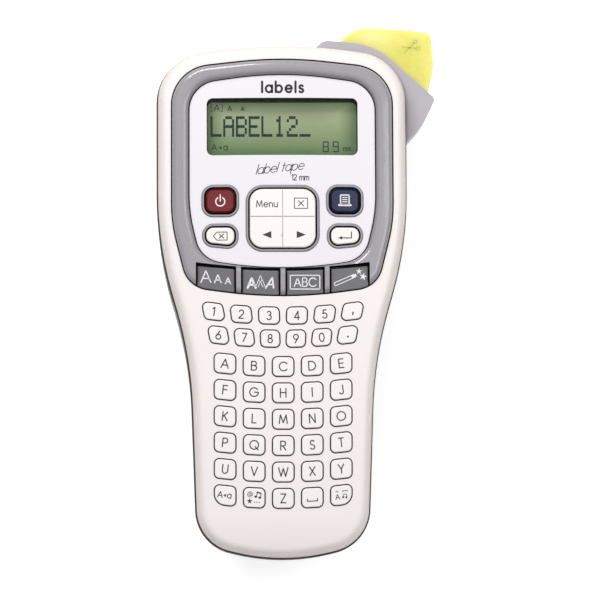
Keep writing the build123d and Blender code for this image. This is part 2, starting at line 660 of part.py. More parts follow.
# ---------------------------------------------------------------- print mechanism
def gear_face(teeth, phase):
    """Spur gear outline centred on the origin, with one tooth centred at the phase angle."""
    pitch_radius = MODULE * teeth / 2
    base_radius = pitch_radius * cos(radians(PRESSURE_ANGLE))
    tip_radius = pitch_radius + ADDENDUM * MODULE
    root_radius = pitch_radius - DEDENDUM * MODULE

    def involute(radius):
        roll = acos(min(1.0, base_radius / radius))
        return tan(roll) - roll

    half_tooth = (pi * MODULE / 2 - BACKLASH / 2) / (2 * pitch_radius)
    flank_radii = [max(root_radius, base_radius)]
    flank_radii += [flank_radii[0] + (tip_radius - flank_radii[0]) * step / 3 for step in (1, 2, 3)]
    flank = [(r, half_tooth + involute(pitch_radius) - involute(r)) for r in flank_radii]
    flank.insert(0, (root_radius, flank[0][1]))
    points = []
    for tooth in range(teeth):
        centre = radians(phase) + 2 * pi * tooth / teeth
        for radius, half in flank:
            points.append((radius * cos(centre - half), radius * sin(centre - half)))
        for radius, half in reversed(flank):
            points.append((radius * cos(centre + half), radius * sin(centre + half)))
    return make_face(Polyline(*points, close=True).edges())


def gear(axis, teeth, phase, z):
    return Pos(axis[0], axis[1]) * prism(gear_face(teeth, phase), *z)


def meshing_phase(direction, driver_phase, driver_teeth, driven_teeth):
    """Phase that puts a gap of the driven wheel opposite the driver's tooth."""
    return direction + 180 + 180 / driven_teeth - (driver_phase - direction) * driver_teeth / driven_teeth


PINION_PHASE = 0.0
FIRST_PHASE = meshing_phase(FIRST_DIRECTION, PINION_PHASE, PINION_TEETH, FIRST_TEETH[0])
SECOND_PHASE = meshing_phase(SECOND_DIRECTION, FIRST_PHASE, FIRST_TEETH[1], SECOND_TEETH[0])
PLATEN_PHASE = meshing_phase(PLATEN_DIRECTION, SECOND_PHASE, SECOND_TEETH[1], PLATEN_TEETH)
RIBBON_PHASE = meshing_phase(RIBBON_DIRECTION, SECOND_PHASE, SECOND_TEETH[1], RIBBON_TEETH)


def make_gear_train():
    bore = AXLE_RADIUS + RUNNING_CLEARANCE
    through = (20, 40)
    pinion = gear(MOTOR_AXIS, PINION_TEETH, PINION_PHASE, HIGH_MESH)
    pinion += rod(MOTOR_AXIS, (TRAY_Z[0] + 0.1, HIGH_MESH[0]), 0.75)
    pinion += rod(MOTOR_AXIS, (29, HIGH_MESH[0]), 1.8)
    parts["motor_pinion"] = single(pinion)

    first = gear(FIRST_AXIS, FIRST_TEETH[0], FIRST_PHASE, HIGH_MESH)
    first += gear(FIRST_AXIS, FIRST_TEETH[1], FIRST_PHASE, MIDDLE_MESH)
    first += rod(FIRST_AXIS, (MIDDLE_MESH[1] - 0.1, 35.8), 2.4)
    parts["first_reduction_gear"] = single(first - rod(FIRST_AXIS, through, bore))

    second = gear(SECOND_AXIS, SECOND_TEETH[0], SECOND_PHASE, MIDDLE_MESH)
    second += gear(SECOND_AXIS, SECOND_TEETH[1], SECOND_PHASE, LOW_MESH)
    second += rod(SECOND_AXIS, (LOW_MESH[1] - 0.1, MIDDLE_MESH[0] + 0.1), 2.4)
    second += rod(SECOND_AXIS, (MIDDLE_MESH[1] - 0.1, 35.8), 1.75)
    parts["second_reduction_gear"] = single(second - rod(SECOND_AXIS, through, bore))

    ribbon = gear(RIBBON_AXIS, RIBBON_TEETH, RIBBON_PHASE, LOW_MESH)
    ribbon += rod(RIBBON_AXIS, (CASSETTE_Z[0] + CASSETTE_WALL + 0.3, LOW_MESH[0]), 2.0)
    parts["ribbon_drive_gear"] = single(ribbon)

    platen_gear = gear(PLATEN_AXIS, PLATEN_TEETH, PLATEN_PHASE, LOW_MESH)
    parts["platen_gear"] = single(platen_gear - rod(PLATEN_AXIS, through, 1.5))
    roller = rod(PLATEN_AXIS, (4.8, 18.1), PLATEN_RADIUS) + rod(PLATEN_AXIS, (3.4, LOW_MESH[1] + 0.2), 1.5)
    parts["platen_roller"] = single(roller)


def make_print_mechanism():
    holder_x = (43.9, 45.0)
    plate = closed([
        (38.6, 42.8, 2), (45.0, 42.8, 2), (45.0, 69.0, 1), (36.6, 69.0, 2), (36.6, 61.5, 2), (38.6, 53, 5),
    ])
    holder = prism(plate, 3.7, 4.7) + prism(plate, 18.4, 19.8)
    holder += block(holder_x, (50.5, 68.5), (4.0, 19))
    holder -= rod(HOLDER_PIVOT, (0, 30), 1.5 + RUNNING_CLEARANCE)
    holder -= rod(PLATEN_AXIS, (0, 30), 1.5 + RUNNING_CLEARANCE)
    parts["platen_holder"] = single(holder)
    parts["holder_pin"] = single(rod(HOLDER_PIVOT, (3.4, TRAY_Z[0]), 1.5))
    parts["platen_spring"] = coil_spring(HOLDER_PIVOT, (8, 14), 2.3, 0.3, 0.9)

    parts["print_head"] = single(block((33.2, 34.8), (58.5, 72), (4, 19)))
    bracket = block((31.0, 33.2), (56, 76), (3.6, TRAY_Z[0]))
    bracket -= block((30, 31.9), (57.5, 74.5), (5.5, 18.5))
    parts["head_bracket"] = single(bracket)

    can = Pos(*MOTOR_AXIS, 14) * Cylinder(6.0, 14)
    can &= block((30, 50), (MOTOR_AXIS[1] - 5, MOTOR_AXIS[1] + 5), (0, 30))
    parts["motor_can"] = single(can + rod(MOTOR_AXIS, (5.6, 7.5), 2.5))

    axles = [single(rod(axis, (TRAY_Z[0], 37.2), AXLE_RADIUS)) for axis in (FIRST_AXIS, SECOND_AXIS)]
    parts["gear_axles"] = Compound(children=axles)

    posts = [(20.5, 50.0), (45.0, 54.0), (28.0, 73.0)]
    plate = prism(closed([
        (17.8, 47.5, 3), (34, 39.5, 3), (46.2, 50, 3), (46.2, 57, 3),
        (31, 75.4, 3), (25, 75.4, 3), (17.8, 56, 3),
    ]), 36.0, 37.2)
    for centre in posts:
        plate += rod(centre, (TRAY_Z[1], 36.5), 1.1 if centre[0] > 40 else 1.6)
    for axis in (FIRST_AXIS, SECOND_AXIS):
        plate -= rod(axis, (35, 39), AXLE_RADIUS)
    parts["mechanism_plate"] = single(plate)


def coil_spring(centre, z, radius, wire, pitch):
    path = Helix(pitch=pitch, height=z[1] - z[0], radius=radius)
    coil = sweep(Plane(path @ 0, z_dir=path % 0) * Circle(wire), path)
    return single(Pos(centre[0], centre[1], z[0]) * coil)


# ---------------------------------------------------------------- cutter
def make_cutter():
    guard_face = closed(GUARD_OUTLINE)
    low, high = GUARD_Z
    guard = prism(guard_face, low, low + GUARD_WALL) + prism(guard_face, high - GUARD_WALL, high)
    rim = guard_face - grown(guard_face, -GUARD_WALL)
    wall_reach = closed([
        (48.0, 60, 0), (62, 60, 0), (62, 79, 0), (56.5, 79, 0), (51.0, 68.0, 0), (48.0, 63.5, 0),
    ])
    guard += prism(rim & wall_reach, low, high)
    pin_top = high - GUARD_WALL / 2
    guard -= rod(LEVER_PIVOT, (0, pin_top), 1.5)
    parts["cutter_guard"] = single(guard)
    parts["lever_pin"] = single(rod(LEVER_PIVOT, (low, pin_top - 0.1), 1.5))

    lever = prism(closed(LEVER_OUTLINE), *LEVER_Z)
    levels = lever.faces().sort_by(Axis.Z)
    lever = fillet(levels[0].edges() + levels[-1].edges(), 0.8)
    lever -= rod(LEVER_PIVOT, (0, 60), 1.5 + RUNNING_CLEARANCE)
    lever -= rod(LEVER_PIVOT, (26, 34), 3.1)
    slot = Pos(CARRIAGE_PIN[0], CARRIAGE_PIN[1] + 1.6) * RectangleRounded(3.7, 6.9, 1.8)
    lever -= prism(slot, 20, 31)
    parts["cutter_lever"] = single(lever)
    parts["lever_spring"] = coil_spring(LEVER_PIVOT, (27, 33), 2.4, 0.3, 0.9)

    blade = block((36.2, 40.5), (86.2, 86.8), (4.4, 19.4))
    parts["cutter_blade"] = single(blade)
    carriage = block((37.6, 42.2), (84.4, 88.4), (4.2, 20.0)) + rod(CARRIAGE_PIN, (19.5, 30), 1.5)
    parts["blade_carriage"] = single(carriage - blade)
    anvil = block((30.4, 34.4), (84.4, 88.6), (3.4, TRAY_Z[0])) - block((32, 36), (85.9, 87.1), (0, 30))
    parts["cutter_anvil"] = single(anvil)


def make_case_screws():
    screws = []
    for centre in SCREWS:
        screw = rod(centre, (SCREW_SEAT_Z - 1.8, SCREW_SEAT_Z), 2.6)
        screw += rod(centre, (SCREW_SEAT_Z - 0.1, SCREW_END_Z), 1.4)
        x, y = centre
        screw -= block((x - 1.6, x + 1.6), (y - 0.3, y + 0.3), (0, SCREW_SEAT_Z - 0.9))
        screw -= block((x - 0.3, x + 0.3), (y - 1.6, y + 1.6), (0, SCREW_SEAT_Z - 0.9))
        screws.append(single(screw))
    parts["case_screws"] = Compound(children=screws)


STEPS = [
    make_rear_shell, make_rear_cover, make_front_shell, make_bezel, make_display, make_panel_keys,
    make_function_keys, make_typing_keys, make_keypad_mat, make_main_board, make_batteries,
    make_battery_contacts, make_dc_jack, make_tray, make_cassette, make_gear_train,
    make_print_mechanism, make_cutter, make_case_screws,
]

if __name__ == "__main__":
    os.makedirs("parts", exist_ok=True)
    for step in STEPS:
        step()
    for node, shape in parts.items():
        export_step(shape, f"parts/{node}.step")
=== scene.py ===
import json
import math

import bmesh
import bpy
from mathutils import Matrix, Vector
from mathutils.bvhtree import BVHTree

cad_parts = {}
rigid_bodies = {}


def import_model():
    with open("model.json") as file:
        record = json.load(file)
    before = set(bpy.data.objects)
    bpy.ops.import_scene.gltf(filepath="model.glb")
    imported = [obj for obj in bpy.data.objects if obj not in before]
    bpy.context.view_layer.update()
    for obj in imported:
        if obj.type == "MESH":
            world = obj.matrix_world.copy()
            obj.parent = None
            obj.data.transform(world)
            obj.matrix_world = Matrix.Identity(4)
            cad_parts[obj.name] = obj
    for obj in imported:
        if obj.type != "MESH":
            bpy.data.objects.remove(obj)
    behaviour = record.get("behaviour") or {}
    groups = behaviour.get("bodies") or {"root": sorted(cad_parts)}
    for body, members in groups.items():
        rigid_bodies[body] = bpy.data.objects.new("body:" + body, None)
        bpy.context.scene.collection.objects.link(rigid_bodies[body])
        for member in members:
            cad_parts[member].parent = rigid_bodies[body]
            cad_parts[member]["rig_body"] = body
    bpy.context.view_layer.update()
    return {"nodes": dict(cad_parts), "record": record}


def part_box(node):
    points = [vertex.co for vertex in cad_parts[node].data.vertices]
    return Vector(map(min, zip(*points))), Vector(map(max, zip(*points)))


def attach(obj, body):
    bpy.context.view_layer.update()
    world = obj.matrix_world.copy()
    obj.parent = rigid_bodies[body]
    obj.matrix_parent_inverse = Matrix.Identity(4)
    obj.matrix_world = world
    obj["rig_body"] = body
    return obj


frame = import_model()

nodes = frame["nodes"]
MM = 0.001
WARM_SHADE = (0.92, 1.0, 1.08)  # painted side shade takes a little more blue than red
SIDEWAYS = 0.2  # how far a surface looks up where its painted side shade is full
UPWARD = 0.95  # and where it has none
GAP_REACH = 0.002  # how near a wall has to be, in metres, to close in a surface for the painted gap shade
GAP_CLOSED = 0.42  # open share of the space above a surface where its painted gap shade is full
GAP_OPEN = 0.95  # and where it has none


# ---------------------------------------------------------------- materials
class Finish:
    """A Principled material with node helpers, in object coordinates (metres)."""

    def __init__(self, name, colour, rough, **sockets):
        self.mat = bpy.data.materials.new(name)
        self.mat.use_nodes = True
        self.tree = self.mat.node_tree
        self.shader = self.tree.nodes["Principled BSDF"]
        self.coords = self.tree.nodes.new("ShaderNodeTexCoord").outputs["Object"]
        self.colour = (*colour, 1.0)
        self.current = self.colour  # the colour so far, or the socket that gives it
        self.rough = rough
        self.shader.inputs["Base Color"].default_value = self.colour
        self.shader.inputs["Roughness"].default_value = rough
        for socket, value in sockets.items():
            self.shader.inputs[socket.replace("_", " ")].default_value = value

    def feed(self, socket, value):
        """Links another socket to this one, or sets it to a plain value."""
        if isinstance(value, bpy.types.NodeSocket):
            self.tree.links.new(value, socket)
        else:
            socket.default_value = value

    def node(self, kind, **inputs):
        """A new node whose inputs are fed by name."""
        made = self.tree.nodes.new(kind)
        for name, value in inputs.items():
            self.feed(made.inputs[name.replace("_", " ")], value)
        return made

    def maths(self, operation, *values):
        """One step of arithmetic."""
        made = self.tree.nodes.new("ShaderNodeMath")
        made.operation = operation
        for socket, value in zip(made.inputs, values):
            self.feed(socket, value)
        return made.outputs[0]

    def noise(self, scale, detail=3.0, roughness=0.5, stretch=None):
        """A noise over the object, drawn out along the axes that stretch enlarges."""
        vector = self.coords
        if stretch:
            vector = self.node("ShaderNodeMapping", Vector=vector, Scale=stretch).outputs[0]
        return self.node(
            "ShaderNodeTexNoise", Vector=vector, Scale=scale, Detail=detail, Roughness=roughness
        ).outputs["Fac"]

    def span(self, value, low, high, start=0.3, end=0.7):
        """Maps a value between start and end, by default most of a noise, to low and high."""
        made = self.node("ShaderNodeMapRange", Value=value)
        for index, number in ((1, start), (2, end), (3, low), (4, high)):
            made.inputs[index].default_value = number
        return made.outputs[0]

    def mix(self, factor, first, second):
        """From the first colour to the second as the factor goes from 0 to 1."""
        made = self.tree.nodes.new("ShaderNodeMix")
        made.data_type = "RGBA"
        for index, value in ((0, factor), (6, first), (7, second)):
            self.feed(made.inputs[index], value)
        return made.outputs[2]

    def tint(self, amount, scale=40.0, second=None):
        """Slow drift of the base colour towards a second one, by default a little darker."""
        second = second or tuple(c * (1 - amount) for c in self.colour[:3])
        factor = self.span(self.noise(scale, 4.0), 0.0, 1.0)
        self.current = self.mix(factor, self.colour, (*second, 1.0))
        self.tree.links.new(self.current, self.shader.inputs["Base Color"])
        return self

    def painted_gap_shade(self, colour):
        """Painted shade in gaps: the colour darkens where the surface is closed in on its sides."""
        open_sky = self.node("ShaderNodeAmbientOcclusion", Distance=GAP_REACH).outputs["AO"]
        factor = self.span(open_sky, 0.0, 1.0, GAP_CLOSED, GAP_OPEN)
        self.current = self.mix(factor, (*colour, 1.0), self.current)
        self.tree.links.new(self.current, self.shader.inputs["Base Color"])
        return self

    def painted_side_shade(self, share):
        """Painted shade: the colour is deeper where the surface faces sideways, by share at most."""
        normal = self.tree.nodes.new("ShaderNodeTexCoord").outputs["Normal"]
        upward = self.node("ShaderNodeSeparateXYZ", Vector=normal).outputs["Z"]
        deep = tuple(c * (1 - share * w) for c, w in zip(self.colour, WARM_SHADE))
        self.current = self.mix(self.span(upward, 0.0, 1.0, SIDEWAYS, UPWARD), (*deep, 1.0), self.current)
        self.tree.links.new(self.current, self.shader.inputs["Base Color"])
        return self

    def roughness_noise(self, spread, scale=300.0):
        """Patches of more and less gloss."""
        value = self.span(self.noise(scale, 5.0, 0.6), self.rough - spread, self.rough + spread)
        self.tree.links.new(value, self.shader.inputs["Roughness"])
        return self

    def bump(self, *layers):
        """Each layer is (height source, strength, distance in metres)."""
        normal = None
        for source, strength, distance in layers:
            made = self.node("ShaderNodeBump", Height=source, Strength=strength, Distance=distance)
            if normal:
                self.tree.links.new(normal, made.inputs["Normal"])
            normal = made.outputs[0]
        self.tree.links.new(normal, self.shader.inputs["Normal"])
        return self


def moulded(
    name, colour, rough, grain=2600.0, strength=0.08, tint=0.03, spread=0.05, gap=None, sides=0.0, **sockets
):
    """Injection moulded plastic: fine spark texture, slow colour drift, painted shade in its gaps.

    grain and strength shape the texture, tint and spread are how far the colour and the roughness
    drift, and sides is how much painted shade deepens the colour on faces that look sideways.
    """
    f = Finish(name, colour, rough, **sockets)
    f.tint(tint)
    # painted shade on faces that look sideways
    if sides:
        f.painted_side_shade(sides)
    if gap:
        f.painted_gap_shade(gap)
    f.roughness_noise(spread)
    return f.bump((f.noise(grain, 2.0), strength, SPARK_DEPTH), (f.noise(SINK_GRAIN, 2.0), 0.03, SINK_DEPTH))


def turned_metal(name, colour, rough, stretch=(1, 1, 1)):
    """Bare metal with fine tool marks."""
    f = Finish(name, colour, rough, Metallic=1.0)
    f.tint(0.10, 200.0).roughness_noise(0.08, 900.0)
    return f.bump((f.noise(1800, 3.0, 0.5, stretch), 0.12, TOOL_MARK_DEPTH))


SPARK_DEPTH = 0.00006  # of the spark texture that a mould leaves, in metres
SINK_GRAIN = 120.0
SINK_DEPTH = 0.0003  # of the slow waves on a moulded wall
TOOL_MARK_DEPTH = 0.00004
ALONG_Y = (1, 12, 1)
ALONG_Z = (1, 1, 20)
GAP_SHADE = (0.018, 0.012, 0.011)  # painted shade: what is left of the light deep in a gap
PAD_GAP_SHADE = (0.50, 0.47, 0.46)  # the painted shade in the shallow cross of the menu pad stays pale
# After the roughness: grain, texture strength, colour drift, roughness spread, colour of the painted gap
# shade, share of the painted side shade.
FINISHES = {
    "front_shell": moulded("white_case", (0.885, 0.832, 0.818), 0.36, 2400, 0.05, 0.018, 0.04, GAP_SHADE, 0.5),
    "rear_shell": moulded("grey_case", (0.110, 0.107, 0.112), 0.46, 1700, 0.22, 0.05, 0.06, GAP_SHADE),
    "guard_plastic": moulded("guard_grey", (0.47, 0.443, 0.485), 0.40, 2200, 0.10, 0.04, 0.05, GAP_SHADE, 0.4),
    "bezel_grey": moulded(
        "bezel_grey", (0.33, 0.322, 0.35), 0.24, 2600, 0.05, 0.04, 0.05, GAP_SHADE, 0.35, Coat_Weight=0.5
    ),
    "panel": moulded(
        "panel_white", (0.815, 0.797, 0.842), 0.22, 3000, 0.02, 0.012, 0.03, GAP_SHADE, Coat_Weight=0.3
    ),
    "black_plastic": moulded("black_plastic", (0.014, 0.013, 0.014), 0.45, 2200, 0.10, 0.05),
    "flex": moulded("flex_film", (0.42, 0.19, 0.03), 0.25, 900, 0.02, 0.10),
    "silicone": moulded(
        "silicone_sheet", (0.70, 0.70, 0.68), 0.55, 1500, 0.06, 0.05, Subsurface_Weight=0.15
    ),
    "tray_plastic": moulded("tray_plastic", (0.085, 0.085, 0.09), 0.5, 1500, 0.15, 0.06),
    "cassette_plastic": moulded("cassette_plastic", (0.62, 0.63, 0.63), 0.4, 2000, 0.08, 0.03),
    "label_tape": moulded("label_tape", (0.86, 0.86, 0.84), 0.28, 800, 0.02, 0.02),
    "ceramic": moulded("head_ceramic", (0.50, 0.44, 0.35), 0.3, 1500, 0.06, 0.06),
    "platen_rubber": moulded("platen_rubber", (0.022, 0.022, 0.022), 0.7, 2500, 0.25, 0.10),
    "gear_plastic": moulded(
        "gear_plastic", (0.72, 0.70, 0.60), 0.42, 1600, 0.08, 0.05, Subsurface_Weight=0.1
    ),
    "power_key": moulded(
        "key_red", (0.17, 0.005, 0.010), 0.30, 2600, 0.05, 0.10, 0.05, GAP_SHADE, Coat_Weight=0.2
    ),
    "print_key": moulded(
        "key_navy", (0.010, 0.015, 0.062), 0.30, 2600, 0.05, 0.10, 0.05, GAP_SHADE, Coat_Weight=0.2
    ),
    "white_key": moulded("key_white", (0.900, 0.862, 0.842), 0.40, 2400, 0.06, 0.015, 0.05, GAP_SHADE),
    "menu_pad": moulded("pad_white", (0.900, 0.862, 0.842), 0.40, 2400, 0.06, 0.015, 0.05, PAD_GAP_SHADE),
    "function_key": moulded(
        "key_grey", (0.148, 0.144, 0.157), 0.34, 2400, 0.07, 0.05, 0.05, GAP_SHADE, Coat_Weight=0.2
    ),
    "spring_steel": turned_metal("spring_steel", (0.60, 0.60, 0.58), 0.28),
    "sheet_metal": turned_metal("sheet_metal", (0.52, 0.53, 0.54), 0.36, ALONG_Y),
    "steel": turned_metal("turned_steel", (0.50, 0.50, 0.50), 0.25, ALONG_Z),
    "brass": turned_metal("brass", (0.62, 0.42, 0.14), 0.25, ALONG_Z),
}


def make_board_finish():
    """Green solder mask with faint copper traces under it."""
    f = Finish("board", (0.012, 0.085, 0.035), 0.3)
    brick = f.node(
        "ShaderNodeTexBrick", Vector=f.coords, Scale=220.0, Mortar_Size=0.06, Bias=0.2,
        Color1=f.colour, Color2=(0.010, 0.070, 0.030, 1), Mortar=(0.05, 0.19, 0.06, 1),
    )
    f.tree.links.new(brick.outputs["Color"], f.shader.inputs["Base Color"])
    return f.bump((brick.outputs["Fac"], 0.2, 0.00005), (f.noise(900), 0.05, 0.00005))


BAND_START = 0.0139  # where the light band of the cells begins along the machine, in metres


def make_battery_finish():
    """Plain wrapped cells: dark sleeve with a lighter band at one end."""
    f = Finish("cell_wrap", (0.03, 0.05, 0.10), 0.25, Coat_Weight=0.3)
    along = f.node("ShaderNodeSeparateXYZ", Vector=f.coords).outputs["Y"]
    band = f.span(along, 0.0, 1.0, BAND_START, BAND_START + 0.0002)
    scuffed = f.mix(f.span(f.noise(500, 5.0), 0, 0.3), f.colour, (0.10, 0.12, 0.16, 1))
    f.tree.links.new(f.mix(band, scuffed, (0.45, 0.40, 0.30, 1)), f.shader.inputs["Base Color"])
    return f.bump((f.noise(700), 0.05, 0.00005))


def make_lever_finish():
    """Translucent yellow-green lever with light passing through its rim."""
    f = Finish(
        "lever_yellow", (0.74, 0.71, 0.125), 0.26, Subsurface_Weight=0.6, Subsurface_Scale=0.006,
        IOR=1.49, Coat_Weight=0.3,
    )
    f.shader.inputs["Subsurface Radius"].default_value = (1.0, 1.0, 0.35)
    f.tint(0.06, 50.0, (0.90, 0.86, 0.36)).roughness_noise(0.06)
    return f.bump((f.noise(2600, 2.0), 0.06, 0.00005), (f.noise(90, 2.0), 0.05, 0.0004))


def make_window_finish():
    """Clear cover lens: mostly see-through with a faint smoked tint and fine haze."""
    f = Finish("clear_window", (0.03, 0.035, 0.03), 0.06, Alpha=0.07, IOR=1.49)
    f.roughness_noise(0.02, 500.0)
    return f.bump((f.noise(60, 2.0), 0.02, 0.0002))


LCD_MIDDLE = (0.285, 0.385, 0.190)
# LCD_FOOT to LCD_TOP is painted light up the glass: painted light and reflection at the top, darker at the
# foot
LCD_FOOT = (0.11, 0.235, 0.085)
LCD_TOP = (0.56, 0.66, 0.40)
LCD_DRIFT = (0.33, 0.36, 0.19)
LCD_RIM = (0.15, 0.255, 0.095)


def make_lcd_finish():
    """Reflective display glass: yellow-green and darker round its rim, with painted light that makes it
    lighter towards its top and darker towards its foot.
    """
    f = Finish("lcd_glass", LCD_MIDDLE, 0.22, Coat_Weight=0.15)
    low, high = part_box("lcd_glass")
    centre, half = (low + high) / 2, (high - low) / 2
    axes = f.node("ShaderNodeSeparateXYZ", Vector=f.coords)
    across, up = axes.outputs["X"], axes.outputs["Y"]

    def rim(axis, middle, reach, begin):
        """0 up to a share of the way from the middle to the edge, then up to 1 at the edge."""
        distance = f.maths("ABSOLUTE", f.maths("SUBTRACT", axis, middle))
        return f.span(distance, 0.0, 1.0, reach * begin, reach)

    dark = f.maths("MAXIMUM", rim(across, centre.x, half.x, 0.72), rim(up, centre.y, half.y, 0.55))
    # painted light: lighter towards the top of the glass, darker towards its foot
    climb = f.span(up, 0.0, 1.0, low.y + 0.1 * half.y, high.y - 0.1 * half.y)
    painted_light_gradient = f.mix(climb, (*LCD_FOOT, 1.0), (*LCD_TOP, 1.0))
    drift = f.mix(f.span(f.noise(70, 3.0), 0, 0.35), painted_light_gradient, (*LCD_DRIFT, 1.0))
    f.tree.links.new(f.mix(dark, drift, (*LCD_RIM, 1.0)), f.shader.inputs["Base Color"])
    return f.bump((f.noise(1500), 0.01, 0.00003))


FINISHES["board"] = make_board_finish()
FINISHES["battery"] = make_battery_finish()
FINISHES["lever_plastic"] = make_lever_finish()
FINISHES["window"] = make_window_finish()
FINISHES["lever_mark"] = moulded("lever_mark", (0.60, 0.62, 0.06), 0.4, 2600, 0.06, 0.08)
FINISHES["lcd"] = make_lcd_finish()

slot_of = {entry["node"]: entry["material_slot"] for entry in frame["record"]["subparts"]}
slot_of["menu_pad"] = "menu_pad"  # a white key too, with paler painted shade in its groove
for name, node in nodes.items():
    finish = FINISHES[slot_of[name]].mat
    node.data.materials.clear()
    node.data.materials.append(finish)


def ink(name, colour, rough=0.4):
    """Pad-printed ink: slightly uneven cover and sheen."""
    f = Finish(name, colour, rough)
    f.tint(0.12, 800.0).roughness_noise(0.08, 1200.0)
    return f.bump((f.noise(3000, 3.0), 0.10, 0.00002)).mat


INK_DARK = ink("ink_brown", (0.045, 0.037, 0.037))
INK_BLACK = ink("ink_black", (0.016, 0.016, 0.018))
INK_WHITE = ink("ink_white", (0.84, 0.84, 0.86))
INK_LCD = ink("lcd_segments", (0.006, 0.030, 0.036), 0.3)

# ---------------------------------------------------------------- printed legends, in mm
STROKE_STEP = 0.7  # longest straight run of a printed line, so that it follows the crowned front
SHARP_CORNER = math.radians(35)
ARC_STEP = 18  # degrees between the points of an arc
CAP_POINTS = 4  # on the round end of a printed line


def arc(x, y, rx, ry, start, end):
    """Points on an ellipse about (x, y), from one angle to another, in degrees."""
    steps = max(4, round(abs(end - start) / ARC_STEP))
    angles = [math.radians(start + (end - start) * i / steps) for i in range(steps + 1)]
    return [(x + rx * math.cos(a), y + ry * math.sin(a)) for a in angles]


def line(*parts):
    """One pen line: points, and 6-number arcs that are turned into points."""
    points = []
    for part in parts:
        points += arc(*part) if len(part) == 6 else [part]
    return points


